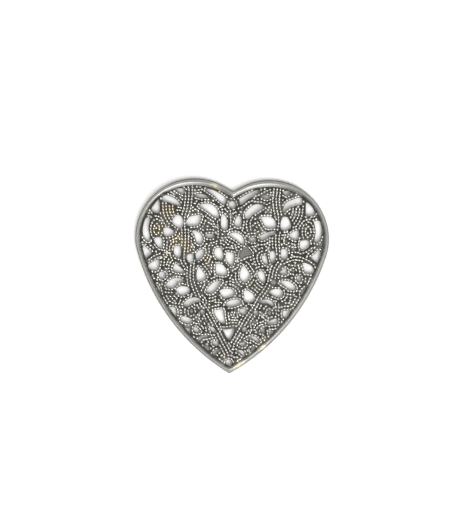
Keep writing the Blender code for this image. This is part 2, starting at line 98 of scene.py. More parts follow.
class NodeGraph:
    """A small helper that adds shader nodes and joins them."""

    def __init__(self, name: str) -> None:
        """Start an empty material.

        Args:
            name: The material's name.
        """
        self.material = bpy.data.materials.new(name)
        self.material.use_nodes = True
        self.tree = self.material.node_tree
        self.shader = self.tree.nodes["Principled BSDF"]

    def add(self, kind: str, **values: object) -> bpy.types.Node:
        """Add a node and set its properties.

        Args:
            kind: The node's type name.
            **values: Properties of the node.

        Returns:
            The new node.
        """
        node = self.tree.nodes.new(kind)
        for key, value in values.items():
            setattr(node, key, value)
        return node

    def join(self, source: bpy.types.NodeSocket, target: bpy.types.NodeSocket) -> None:
        """Link one socket to another."""
        self.tree.links.new(source, target)

    def coordinates(self) -> bpy.types.NodeSocket:
        """Object coordinates in metres."""
        return self.add("ShaderNodeTexCoord").outputs["Object"]

    def math(self, operation: str, first: object, second: object = 0.0) -> bpy.types.NodeSocket:
        """Do one sum on two sockets or numbers.

        Args:
            operation: The Math node's operation.
            first: A socket or a number.
            second: A socket or a number.

        Returns:
            The result's socket.
        """
        node = self.add("ShaderNodeMath", operation=operation)
        for slot, value in zip(node.inputs, (first, second)):
            if isinstance(value, (int, float)):
                slot.default_value = value
            else:
                self.join(value, slot)
        return node.outputs[0]

    def ramp(self, value: bpy.types.NodeSocket, low: float, high: float) -> bpy.types.NodeSocket:
        """A smooth step.

        Args:
            value: The socket that it reads.
            low: Where the step starts, at 0.
            high: Where it ends, at 1.

        Returns:
            The step's socket.
        """
        node = self.add("ShaderNodeMapRange", interpolation_type="SMOOTHSTEP")
        node.inputs["From Min"].default_value = low
        node.inputs["From Max"].default_value = high
        self.join(value, node.inputs["Value"])
        return node.outputs["Result"]

    def noise(self, size: float, detail: float = 2.0) -> bpy.types.NodeSocket:
        """Noise whose blotches are about a given size.

        Args:
            size: The blotches' size, in metres.
            detail: How many finer layers it has.

        Returns:
            The noise value's socket.
        """
        node = self.add("ShaderNodeTexNoise")
        node.inputs["Scale"].default_value = 1.0 / size
        node.inputs["Detail"].default_value = detail
        self.join(self.coordinates(), node.inputs["Vector"])
        return node.outputs["Fac"]

    def mix(self, share: bpy.types.NodeSocket, first: object, second: object) -> bpy.types.NodeSocket:
        """Mix two colours.

        Args:
            share: How much of the second colour.
            first: A colour socket or an RGB triple.
            second: A colour socket or an RGB triple.

        Returns:
            The mixed colour's socket.
        """
        node = self.add("ShaderNodeMix", data_type="RGBA")
        self.join(share, node.inputs["Factor"])
        for number, value in zip(MIX_COLOURS, (first, second)):
            if isinstance(value, tuple):
                node.inputs[number].default_value = (*value, 1.0)
            else:
                self.join(value, node.inputs[number])
        return node.outputs[MIX_RESULT]

    def patch(self, place: Place, reach: float) -> bpy.types.NodeSocket:
        """A soft round patch, 1 at its middle and 0 at its reach, seen in plan.

        Args:
            place: The patch's middle in X and Y, in millimetres.
            reach: Its radius, in millimetres.

        Returns:
            The patch's strength.
        """
        split = self.add("ShaderNodeSeparateXYZ")
        self.join(self.coordinates(), split.inputs[0])
        across = self.math("SUBTRACT", split.outputs["X"], place[0] * MM)
        along = self.math("SUBTRACT", split.outputs["Y"], place[1] * MM)
        squares = self.math("ADD", self.math("POWER", across, 2.0), self.math("POWER", along, 2.0))
        distance = self.math("SQRT", squares)
        return self.math("SUBTRACT", 1.0, self.ramp(distance, 0.0, reach * MM))


@dataclass(frozen=True)
class PlateFinish:
    """Antiqued silver plate: dark patina in the hollows, bright where rubbing reaches what stands
    proud. On the rim, the dark band low on the outer wall is painted shade.

    The heights are in millimetres, and so are the places and reaches of the patches painted with a
    warm glint.
    """

    name: str
    dark: Colour
    bright: Colour
    # The brassy colour: real wear in the specks, a painted warm glint in the listed patches.
    brass_and_glint: Colour
    # Below this height the plate turns dark: patina in the field's hollows, painted shade low on the
    # rim's outer wall.
    patina_and_shade_height: float
    proud_height: float
    dark_roughness: float
    bright_roughness: float
    # Patches painted with a warm glint, each a place and a reach.
    warm_glints: tuple[tuple[Place, float], ...]
    scratch: float
    # The dark in the brassy places, which in the listed patches is painted warm glint too.
    bronze_and_glint: Colour = (0.105, 0.086, 0.058)
    # Slow waves in the height at which the plate turns bright.
    wave_size: float = 1.4 * MM
    wave_height: float = 0.22 * MM
    # Blotches that dull the silver and lighten the dark: the patina, and the painted shade on the
    # rim.
    blotch_size: float = 3.5 * MM
    blotch_detail: float = 4.0
    blotch_range: tuple[float, float] = (0.38, 0.72)
    dull_share: float = 0.35
    dull_tone: float = 0.72
    patina_and_shade_share: float = 0.6
    patina_and_shade_tone: float = 1.9
    # Specks that change the gloss, and now and then show the brass.
    speck_size: float = 0.22 * MM
    speck_detail: float = 3.0
    speck_range: tuple[float, float] = (0.5, 0.8)
    speck_gloss: float = 0.16
    speck_wear: float = 0.04
    # The ragged edges of the wear specks and of the painted warm glints.
    wear_and_glint_size: float = 0.8 * MM
    wear_and_glint_detail: float = 3.0
    wear_and_glint_range: tuple[float, float] = (0.25, 0.58)
    wear_and_glint_gain: float = 1.4
    # Fine scratches.
    scratch_size: float = 0.16 * MM
    scratch_detail: float = 5.0
    scratch_depth: float = 0.02 * MM

    def build(self) -> bpy.types.Material:
        """Make the material.

        Returns:
            The finished material.
        """
        graph = NodeGraph(self.name)
        proud = self._proud(graph)
        speck = graph.ramp(graph.noise(self.speck_size, self.speck_detail), *self.speck_range)
        graph.join(self._colour(graph, proud, speck), graph.shader.inputs["Base Color"])
        graph.shader.inputs["Metallic"].default_value = 1.0
        graph.join(self._roughness(graph, proud, speck), graph.shader.inputs["Roughness"])
        bump = graph.add("ShaderNodeBump")
        bump.inputs["Strength"].default_value = self.scratch
        bump.inputs["Distance"].default_value = self.scratch_depth
        graph.join(graph.noise(self.scratch_size, self.scratch_detail), bump.inputs["Height"])
        graph.join(bump.outputs["Normal"], graph.shader.inputs["Normal"])
        return graph.material

    def _proud(self, graph: NodeGraph) -> bpy.types.NodeSocket:
        """How far a place stands proud of the hollows.

        Args:
            graph: The material being made.

        Returns:
            0 low down, where the plate is dark: patina in the field's hollows, painted shade low on
                                                 the rim's outer wall; 1 where rubbing has left it
                                                 bright.
        """
        split = graph.add("ShaderNodeSeparateXYZ")
        graph.join(graph.coordinates(), split.inputs[0])
        wave = graph.math("SUBTRACT", graph.noise(self.wave_size), 0.5)
        height = graph.math("ADD", split.outputs["Z"], graph.math("MULTIPLY", wave, self.wave_height))
        return graph.ramp(height, self.patina_and_shade_height * MM, self.proud_height * MM)

    def _colour(self, graph: NodeGraph, proud: bpy.types.NodeSocket,
                speck: bpy.types.NodeSocket) -> bpy.types.NodeSocket:
        """The metal's colour.

        Args:
            graph: The material being made.
            proud: How far a place stands proud.
            speck: Fine noise that breaks the patches up.

        Returns:
            The colour's socket.
        """
        blotch = graph.ramp(graph.noise(self.blotch_size, self.blotch_detail), *self.blotch_range)
        # How far it turns brassy: wear in the specks, painted warm glint in the patches.
        wear_and_glint = self._wear_and_glint(graph, speck)
        silver = graph.mix(graph.math("MULTIPLY", blotch, self.dull_share), self.bright,
                           tuple(self.dull_tone * part for part in self.bright))
        plate_and_glint = graph.mix(wear_and_glint, silver, self.brass_and_glint)
        # The dark: patina in the hollows, painted shade low on the rim's outer wall.
        patina_and_shade = graph.mix(graph.math("MULTIPLY", blotch, self.patina_and_shade_share), self.dark,
                         tuple(self.patina_and_shade_tone * part for part in self.dark))
        return graph.mix(proud, graph.mix(wear_and_glint, patina_and_shade, self.bronze_and_glint), plate_and_glint)

    def _roughness(self, graph: NodeGraph, proud: bpy.types.NodeSocket,
                   speck: bpy.types.NodeSocket) -> bpy.types.NodeSocket:
        """The metal's roughness.

        Args:
            graph: The material being made.
            proud: How far a place stands proud.
            speck: Fine noise that makes the gloss uneven.

        Returns:
            The roughness's socket.
        """
        rough = graph.add("ShaderNodeMapRange")
        rough.inputs["To Min"].default_value = self.dark_roughness
        rough.inputs["To Max"].default_value = self.bright_roughness
        graph.join(proud, rough.inputs["Value"])
        uneven = graph.math("MULTIPLY", graph.math("SUBTRACT", speck, 0.5), self.speck_gloss)
        return graph.math("ADD", rough.outputs["Result"], uneven)

    def _wear_and_glint(self, graph: NodeGraph, speck: bpy.types.NodeSocket) -> bpy.types.NodeSocket:
        """How far the silver turns brassy: real wear in the fine specks, a painted warm glint in the
        listed patches.

        Args:
            graph: The material being made.
            speck: Fine noise that breaks the patches up.

        Returns:
            The wear and painted glint, from 0 to 1.
        """
        total = graph.math("MULTIPLY", speck, self.speck_wear)
        for place, reach in self.warm_glints:
            total = graph.math("MAXIMUM", total, graph.patch(place, reach))
        ragged = graph.ramp(graph.noise(self.wear_and_glint_size, self.wear_and_glint_detail), *self.wear_and_glint_range)
        broken = graph.math("MULTIPLY", ragged, self.wear_and_glint_gain)
        return graph.math("MINIMUM", graph.math("MULTIPLY", total, broken), 1.0)


# Painted warm highlights: patches of brassy colour where a warm lamp's glint lies, on the rim and on
# the field; each is a place and a reach in millimetres.
RIM_WARM_GLINTS = (((-4.4, 20.5), 1.8), ((2.2, -20.4), 2.4), ((7.4, -16.0), 1.8))
FIELD_WARM_GLINTS = (((-15.3, 15.0), 3.0), ((-17.5, 10.8), 2.8), ((-12.7, 8.3), 3.0),
                 ((-10.8, 6.9), 2.8), ((-5.8, 4.0), 1.7), ((-15.2, 4.6), 1.2))
# On the rim, the dark below its lower height is painted shade: a dark outline low on the outer wall.
POLISHED_PLATE = PlateFinish(
    name="polished_plate", dark=(0.085, 0.083, 0.077), bright=(0.50, 0.493, 0.468),
    brass_and_glint=(1.0, 0.92, 0.72), patina_and_shade_height=0.72, proud_height=1.20, dark_roughness=0.5,
    bright_roughness=0.50, warm_glints=RIM_WARM_GLINTS, scratch=0.35)
ANTIQUED_PLATE = PlateFinish(
    name="antiqued_plate", dark=(0.060, 0.058, 0.051), bright=(0.93, 0.917, 0.870),
    brass_and_glint=(1.0, 0.94, 0.79), patina_and_shade_height=0.88, proud_height=1.06, dark_roughness=0.55,
    bright_roughness=0.33, warm_glints=FIELD_WARM_GLINTS, scratch=0.3)
SATIN_PLATE = PlateFinish(
    name="satin_plate", dark=(0.19, 0.19, 0.18), bright=(0.60, 0.59, 0.56),
    brass_and_glint=(0.92, 0.83, 0.64), patina_and_shade_height=0.85, proud_height=1.20, dark_roughness=0.5,
    bright_roughness=0.34, warm_glints=FIELD_WARM_GLINTS, scratch=0.3)


@dataclass
class PanelLines:
    """The closed lines on the face of the panel's solid."""

    top: float = 0.0
    underside: float = 0.0

    def read(self, solid: bpy.types.Object) -> Lines:
        """Find the panel's outline, windows and pockets.

        Args:
            solid: The panel's solid.

        Returns:
            The lines of each kind, in metres, with the metal on their left.
        """
        data = bmesh.new()
        data.from_mesh(solid.data)
        bmesh.ops.remove_doubles(data, verts=data.verts, dist=SAME_POINT)
        heights = [vert.co.z for vert in data.verts]
        self.top = max(heights)
        self.underside = min(heights)
        following = {}
        floor = {}
        for edge in data.edges:
            level = all(abs(vert.co.z - self.top) < LEVEL for vert in edge.verts)
            walls = [face for face in edge.link_faces if abs(face.normal.z) < UPRIGHT]
            faces = [face for face in edge.link_faces if face.normal.z > UPRIGHT]
            if not (level and walls and faces):
                continue
            corner = next(loop for loop in faces[0].loops if loop.edge == edge)
            following[corner.vert] = corner.link_loop_next.vert
            floor[corner.vert] = min(vert.co.z for vert in walls[0].verts)
        lines = self._chain(following, floor)
        data.free()
        return lines

    def _chain(self, following: dict[bmesh.types.BMVert, bmesh.types.BMVert],
               floor: dict[bmesh.types.BMVert, float]) -> Lines:
        """Join edges end to end and sort the closed lines by kind.

        Args:
            following: The point that comes after each point.
            floor: How low the wall under each point goes.

        Returns:
            The lines of each kind.
        """
        found = {kind: [] for kind in Cut}
        left = dict(following)
        chains = []
        while left:
            start = next(iter(left))
            chain = [start]
            step = left.pop(start)
            while step != start:
                chain.append(step)
                step = left.pop(step)
            chains.append(chain)
        chains.sort(key=len, reverse=True)
        for number, chain in enumerate(chains):
            points = [vert.co.xy.copy() for vert in chain]
            deepest = min(floor[vert] for vert in chain)
            kind = Cut.WINDOW if deepest < self.underside + THROUGH else Cut.POCKET
            found[Cut.OUTER if number == 0 else kind].append(points)
        return found


def on_curve(before: Vector, start: Vector, end: Vector, after: Vector, share: float) -> Vector:
    """A place on the smooth curve from start to end.

    Args:
        before: The point before the stretch.
        start: The stretch's first point.
        end: Its last point.
        after: The point after it.
        share: How far along the stretch the place is, from 0 to 1.

    Returns:
        The place.
    """
    return 0.5 * (2 * start + (end - before) * share
                  + (2 * before - 5 * start + 4 * end - after) * share ** 2
                  + (3 * start - before - 3 * end + after) * share ** 3)


def rounded(loop: Loop, parts: int) -> Loop:
    """A closed line with each stretch cut into parts along a smooth curve.

    Args:
        loop: The line's points.
        parts: How many parts each stretch gets.

    Returns:
        The smooth line.
    """
    count = len(loop)
    result = []
    for i in range(count):
        before, start = loop[i - 1], loop[i]
        end, after = loop[(i + 1) % count], loop[(i + 2) % count]
        result += [on_curve(before, start, end, after, step / parts) for step in range(parts)]
    return result


def shifted(loop: Loop, distance: float) -> Loop:
    """A closed line moved sideways into the metal on its left.

    Args:
        loop: The line's points.
        distance: How far it moves, in metres.

    Returns:
        The moved line.
    """
    result = []
    for i, point in enumerate(loop):
        along = (loop[(i + 1) % len(loop)] - loop[i - 1]).normalized()
        result.append(point + distance * Vector((-along.y, along.x)))
    return result


def spaced(loop: Loop, pitch: float) -> Loop:
    """Points at an even pitch round a closed line.

    Args:
        loop: The line's points.
        pitch: About how far apart the new points stand, in metres.

    Returns:
        The new points.
    """
    closed = loop + loop[:1]
    lengths = [(b - a).length for a, b in zip(closed, closed[1:])]
    total = sum(lengths)
    count = max(3, round(total / pitch))
    result = []
    segment = 0
    passed = 0.0
    for step in range(count):
        target = total * step / count
        while passed + lengths[segment] < target:
            passed += lengths[segment]
            segment += 1
        share = (target - passed) / lengths[segment] if lengths[segment] else 0.0
        result.append(closed[segment].lerp(closed[segment + 1], share))
    return result


def new_piece(name: str, data: bmesh.types.BMesh, material: bpy.types.Material,
              stands_for: Node | None, sharp: float = 40.0) -> bpy.types.Object:
    """Turn a finished bmesh into a piece of the heart.

    Args:
        name: The piece's name.
        data: Its mesh, which is freed.
        material: Its finish.
        stands_for: The solid that it replaces, if any.
        sharp: The angle, in degrees, past which an edge stays sharp.

    Returns:
        The piece.
    """
    mesh = bpy.data.meshes.new(name)
    data.to_mesh(mesh)
    data.free()
    mesh.materials.append(material)
    mesh.shade_smooth()
    mesh.set_sharp_from_angle(angle=math.radians(sharp))
    piece = bpy.data.objects.new(name, mesh)
    bpy.context.scene.collection.objects.link(piece)
    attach(piece, "root")
    if stands_for:
        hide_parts(stands_for.value)
    log.info("%s: %d faces", name, len(mesh.polygons))
    return piece


@dataclass
class RimFrame:
    """The smooth raised border."""

    finish: PlateFinish
    flat_angle: float = 0.2
    shape_angle: float = 0.6
    crease_angle: float = math.radians(50)
    crease: float = 0.9
    levels: int = 2

    def build(self) -> None:
        """Smooth the rim's solid into a rounded roof and dress it."""
        data = bmesh.new()
        data.from_mesh(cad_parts[Node.RIM.value].data)
        bmesh.ops.remove_doubles(data, verts=data.verts, dist=SAME_POINT)
        bmesh.ops.join_triangles(data, faces=data.faces, angle_face_threshold=self.flat_angle,
                                 angle_shape_threshold=self.shape_angle)
        crease = data.edges.layers.float.new("crease_edge")
        for edge in data.edges:
            if edge.calc_face_angle(0.0) > self.crease_angle:
                edge[crease] = self.crease
        piece = new_piece("smooth_rim", data, self.finish.build(), Node.RIM)
        smoothing = piece.modifiers.new("smoothing", "SUBSURF")
        smoothing.levels = self.levels
        smoothing.render_levels = self.levels


def inside(point: Vector, loop: Loop) -> bool:
    """Whether a point lies within a closed line.

    Args:
        point: The point.
        loop: The line's points.

    Returns:
        True if the line goes round the point.
    """
    crossings = 0
    for a, b in zip(loop, loop[1:] + loop[:1]):
        if (a.y > point.y) != (b.y > point.y):
            if point.x < a.x + (point.y - a.y) / (b.y - a.y) * (b.x - a.x):
                crossings += 1
    return crossings % 2 == 1


@dataclass(frozen=True)
class Bead:
    """One bead: its place and the way that its row runs."""

    place: Vector
    heading: float


@dataclass
class BeadPlan:
    """Where the beads stand: in strings up the stems, along every edge, and behind those."""

    lines: Lines
    bars: list[tuple[Vector, Vector]]
    stems: list[tuple[Loop, tuple[float, ...]]]
    # From bead to bead along a string.
    pitch: float = 0.72 * MM
    # From an edge to the first string along it, and on to the next ones.
    edge_gap: float = 0.31 * MM
    row_pitch: float = 0.74 * MM
    rows: int = 6
    off_row: float = 0.07 * MM
    # The closest that beads may stand: in one string, to another string's, and where they fill in.
    in_row: float = 0.60 * MM
    between_rows: float = 0.64 * MM
    fill_gap: float = 0.60 * MM
    # The last beads of a string, which may stand closer to its next one.
    own_last: int = 12
    # The closest that a bead may stand to an edge, and how finely places are tried.
    least_room: float = 0.24 * MM
    fill_room: float = 0.3 * MM
    fill_step: float = 0.2 * MM
    edge_step: float = 0.08 * MM
    # Worked out by beads().
    holes: list[tuple[Box, Loop]] = field(default_factory=list, init=False)
    edges: KDTree | None = field(default=None, init=False)
    found: list[Bead] = field(default_factory=list, init=False)
    cells: dict[tuple[int, int], list[Bead]] = field(default_factory=dict, init=False)

    def beads(self) -> list[Bead]:
        """Work out every bead.

        Returns:
            The beads, the stems' own first.
        """
        self.holes = [(self._box(loop), loop)
                      for loop in self.lines[Cut.WINDOW] + self.lines[Cut.POCKET]]
        self.edges = self._edge_tree()
        for line, offsets in self.stems:
            for offset in offsets:
                self._string(walked(line, offset * MM, self.pitch))
        borders = self.lines[Cut.WINDOW] + self.lines[Cut.OUTER] + self.lines[Cut.POCKET]
        for row in range(self.rows):
            depth = self.edge_gap + row * self.row_pitch
            for loop in borders:
                string = spaced(shifted(rounded(loop, ROW_PARTS), depth), self.pitch)
                self._string([point if abs(self._room(point) - depth) < self.off_row else None
                              for point in string])
        self._fill()
        return self.found

    def _box(self, loop: Loop) -> Box:
        """A closed line's box in plan.

        Args:
            loop: The line's points.

        Returns:
            Its lowest and highest X, then its lowest and highest Y.
        """
        xs = [point.x for point in loop]
        ys = [point.y for point in loop]
        return min(xs), max(xs), min(ys), max(ys)

    def _edge_tree(self) -> KDTree:
        """Every edge of the metal, and every bar, as closely spaced points.

        Returns:
            The points, ready to be searched.
        """
        points = []
        for loops in self.lines.values():
            for loop in loops:
                points += spaced(rounded(loop, ROW_PARTS), self.edge_step)
        for start, end in self.bars:
            steps = max(2, round((end - start).length / self.edge_step))
            points += [start.lerp(end, i / steps) for i in range(steps + 1)]
        tree = KDTree(len(points))
        for number, point in enumerate(points):
            tree.insert((*point, 0.0), number)
        tree.balance()
        return tree

    def _room(self, point: Vector) -> float:
        """How far a point is from the nearest edge."""
        return self.edges.find((point.x, point.y, 0.0))[2]

    def _on_metal(self, point: Vector) -> bool:
        """Whether a point is inside the outline and in no window or pocket.

        Args:
            point: The point.

        Returns:
            True if there is metal there.
        """
        for (left, right, low, high), loop in self.holes:
            if left < point.x < right and low < point.y < high and inside(point, loop):
                return False
        return inside(point, self.lines[Cut.OUTER][0])

    def _string(self, points: list[Vector | None]) -> None:
        """Thread beads along a row, leaving out those that don't fit.

        Args:
            points: The row's places, with None where the row is broken.
        """
        start = len(self.found)
        for before, point, after in zip([None] + points, points, points[1:] + [None]):
            if point is None or self._room(point) < self.least_room:
                continue
            along = (after or point) - (before or point)
            own = self.found[start:]
            last = own[-self.own_last:]
            crowded = any((bead.place - point).length < self.between_rows
                          for bead in self._near(point) if bead not in last)
            touching = any((bead.place - point).length < self.in_row for bead in own)
            if crowded or touching or not self._on_metal(point):
                continue
            self._add(Bead(point, math.atan2(along.y, along.x)))

    def _near(self, point: Vector) -> list[Bead]:
        """The beads round about a place."""
        x, y = math.floor(point.x / MM), math.floor(point.y / MM)
        return [bead for i in (-1, 0, 1) for j in (-1, 0, 1)
                for bead in self.cells.get((x + i, y + j), ())]

    def _add(self, bead: Bead) -> None:
        """Keep a bead, and note which square millimetre it stands in.

        Args:
            bead: The bead.
        """
        self.found.append(bead)
        cell = (math.floor(bead.place.x / MM), math.floor(bead.place.y / MM))
        self.cells.setdefault(cell, []).append(bead)

    def _fill(self) -> None:
        """Put beads in the gaps that the rows leave, the roomiest places first."""
        step = self.fill_step
        left, right, low, high = self._box(self.lines[Cut.OUTER][0])
        spots = []
        for row in range(int((high - low) / step)):
            for column in range(int((right - left) / step)):
                point = Vector((left + column * step, low + row * step))
                room = self._room(point)
                if room > self.fill_room:
                    spots.append((-room, point))
        spots.sort(key=lambda spot: spot[0])
        for _, point in spots:
            near = self._near(point)
            if any((bead.place - point).length < self.fill_gap for bead in near):
                continue
            if self._on_metal(point):
                closest = min(near, key=lambda bead: (bead.place - point).length, default=None)
                self._add(Bead(point, closest.heading if closest else 0.0))


def ellipse(centre: Place, axes: Place) -> Loop:
    """Points round an oval, the first one repeated at the end.

    Args:
        centre: Its middle, in millimetres.
        axes: Its half width and half height, in millimetres.

    Returns:
        The points, in metres.
    """
    angles = [2 * math.pi * i / OVAL_PARTS for i in range(OVAL_PARTS + 1)]
    return [Vector((centre[0] + axes[0] * math.cos(a), centre[1] + axes[1] * math.sin(a))) * MM
            for a in angles]


def walked(line: Loop, offset: float, pitch: float) -> Loop:
    """Points at an even pitch along an open line, moved sideways.

    Args:
        line: The line's own points, joined by a smooth curve.
        offset: How far the row lies to its left, in metres.
        pitch: The distance from bead to bead, in metres.

    Returns:
        The row's points.
    """
    ends = [2 * line[0] - line[1], *line, 2 * line[-1] - line[-2]]
    fine = []
    for before, start, end, after in zip(ends, ends[1:], ends[2:], ends[3:]):
        fine += [on_curve(before, start, end, after, step / STRING_PARTS)
                 for step in range(STRING_PARTS)]
    moved = []
    for a, b in zip(fine, fine[1:]):
        along = (b - a).normalized()
        moved.append(a + offset * Vector((-along.y, along.x)))
    result = [moved[0]]
    for point in moved:
        while (point - result[-1]).length >= pitch:
            result.append(result[-1].lerp(point, pitch / (point - result[-1]).length))
    return result


# Short smooth ribs among the beads: start and end of each, in millimetres.
BARS: tuple[tuple[Place, Place], ...] = (
    ((1.8, 6.2), (1.15, 3.1)),
    ((1.45, -8.1), (1.7, -9.7)),
    ((4.5, -10.5), (4.85, -12.0)),
    ((4.3, -16.2), (4.75, -17.8)),
    ((7.25, -8.0), (7.3, -9.6)),
    ((-7.25, -8.3), (-7.25, -9.6)),
    ((-17.0, 3.6), (-15.9, 4.2)),
    ((-15.9, 4.2), (-14.9, 4.15)),
    ((-16.0, 5.1), (-13.9, 5.15)),
)
GAP = 0.76  # Millimetres from string to string of a stem.
# Stems: the middle line of each, in millimetres, and how far its strings lie to the left.
STEMS: tuple[tuple[tuple[Place, ...], tuple[float, ...]], ...] = (
    (((0.1, -17.3), (-1.1, -15.2), (-2.5, -12.7), (-3.9, -10.2), (-5.2, -8.0), (-6.4, -6.3),
      (-7.8, -3.6), (-8.7, -1.2), (-8.8, 1.0), (-8.7, 2.8)), (0.0, GAP, 2 * GAP)),
    (((0.35, -15.3), (0.95, -14.2), (2.3, -11.7), (3.7, -9.2), (5.0, -7.3), (6.3, -4.8),
      (7.6, -2.9), (8.5, -1.0), (8.8, 0.8), (9.3, 2.6), (10.3, 4.2)), (0.0, -GAP, -2 * GAP)),
    (((-10.3, 20.6), (-10.3, 18.0), (-10.6, 15.5), (-11.1, 13.6), (-11.1, 11.6), (-10.9, 9.5),
      (-10.9, 7.0), (-11.1, 4.5), (-10.9, 3.0), (-9.7, 1.6), (-9.55, -1.5)), (0.0, GAP, -GAP)),
    (((10.2, 20.4), (10.0, 18.0), (10.2, 16.0), (10.65, 14.0), (10.65, 12.0), (10.15, 9.6),
      (10.15, 7.5), (10.5, 5.0)), (0.0, GAP, -GAP)),
    (((-0.6, 15.2), (-0.45, 13.0), (-0.5, 11.0)), (0.0,)),
    (((-3.5, 12.6), (-3.3, 10.5), (-3.4, 8.0)), (0.0,)),
    (((-2.55, -11.1), (-2.3, -11.75), (-0.7, -11.7), (0.75, -11.4), (1.5, -11.66)), (0.0,)),
    (((-0.16, -10.8), (0.64, -10.7), (1.4, -10.8)), (0.0,)),
    (((1.3, 15.8), (2.3, 16.2), (3.2, 17.0), (4.3, 17.6), (5.5, 17.4), (6.7, 17.35),
      (8.2, 16.7)), (0.0,)),
    (((3.6, 17.5), (4.6, 18.5), (6.2, 19.1), (7.7, 20.0), (9.7, 20.7)), (0.0,)),
    (((2.8, 13.4), (2.5, 11.5), (2.6, 10.5)), (0.0,)),
    (((3.9, 14.2), (3.2, 12.2), (3.6, 10.2)), (0.0,)),
    (((4.9, 14.4), (4.1, 12.4), (4.4, 10.2)), (0.0,)),
    (((10.6, 3.0), (12.0, 4.0), (13.5, 4.6), (15.0, 4.9), (16.5, 4.6), (18.0, 3.9), (19.4, 2.9),
      (20.0, 1.5), (19.8, 0.0), (19.3, -1.2)), (0.0, -GAP)),
    (((14.5, 5.4), (16.5, 5.75), (18.0, 6.5), (19.0, 7.5)), (0.0,)),
    (((-20.0, 1.5), (-19.6, 3.0), (-18.3, 4.2), (-16.5, 5.0), (-14.0, 5.2)), (0.0, -GAP)),
    (((16.3, 16.6), (16.1, 14.5), (15.3, 12.6), (14.3, 11.4)), (0.0, -GAP, -2 * GAP, -3 * GAP)),
    (((15.5, 11.4), (15.9, 12.6), (17.1, 13.5), (18.8, 13.7)), (0.0,)),
    (((-16.3, 16.6), (-16.1, 14.5), (-15.3, 12.6), (-14.3, 11.4)), (0.0, GAP, 2 * GAP, 3 * GAP)),
    (((-15.5, 11.4), (-15.9, 12.6), (-17.1, 13.5), (-18.8, 13.7)), (0.0,)),
    (((0.3, 17.9), (1.0, 17.0), (0.8, 16.0), (-0.1, 15.4), (-1.1, 16.0), (-1.3, 17.0),
      (-0.6, 17.9)), (0.0,)),
)
# Scrolls: the middle of each, in millimetres, and the half width and half height of its rings.
SCROLLS: tuple[tuple[Place, tuple[Place, ...]], ...] = (
    ((17.6, 10.7), ((0.65, 1.25), (1.4, 2.3))),
    ((-17.6, 10.6), ((0.65, 1.25), (1.4, 2.3))),
    ((9.0, -8.4), ((0.85, 1.1), (1.6, 1.9))),
    ((-9.05, -8.3), ((0.85, 1.1), (1.6, 1.9))),
)


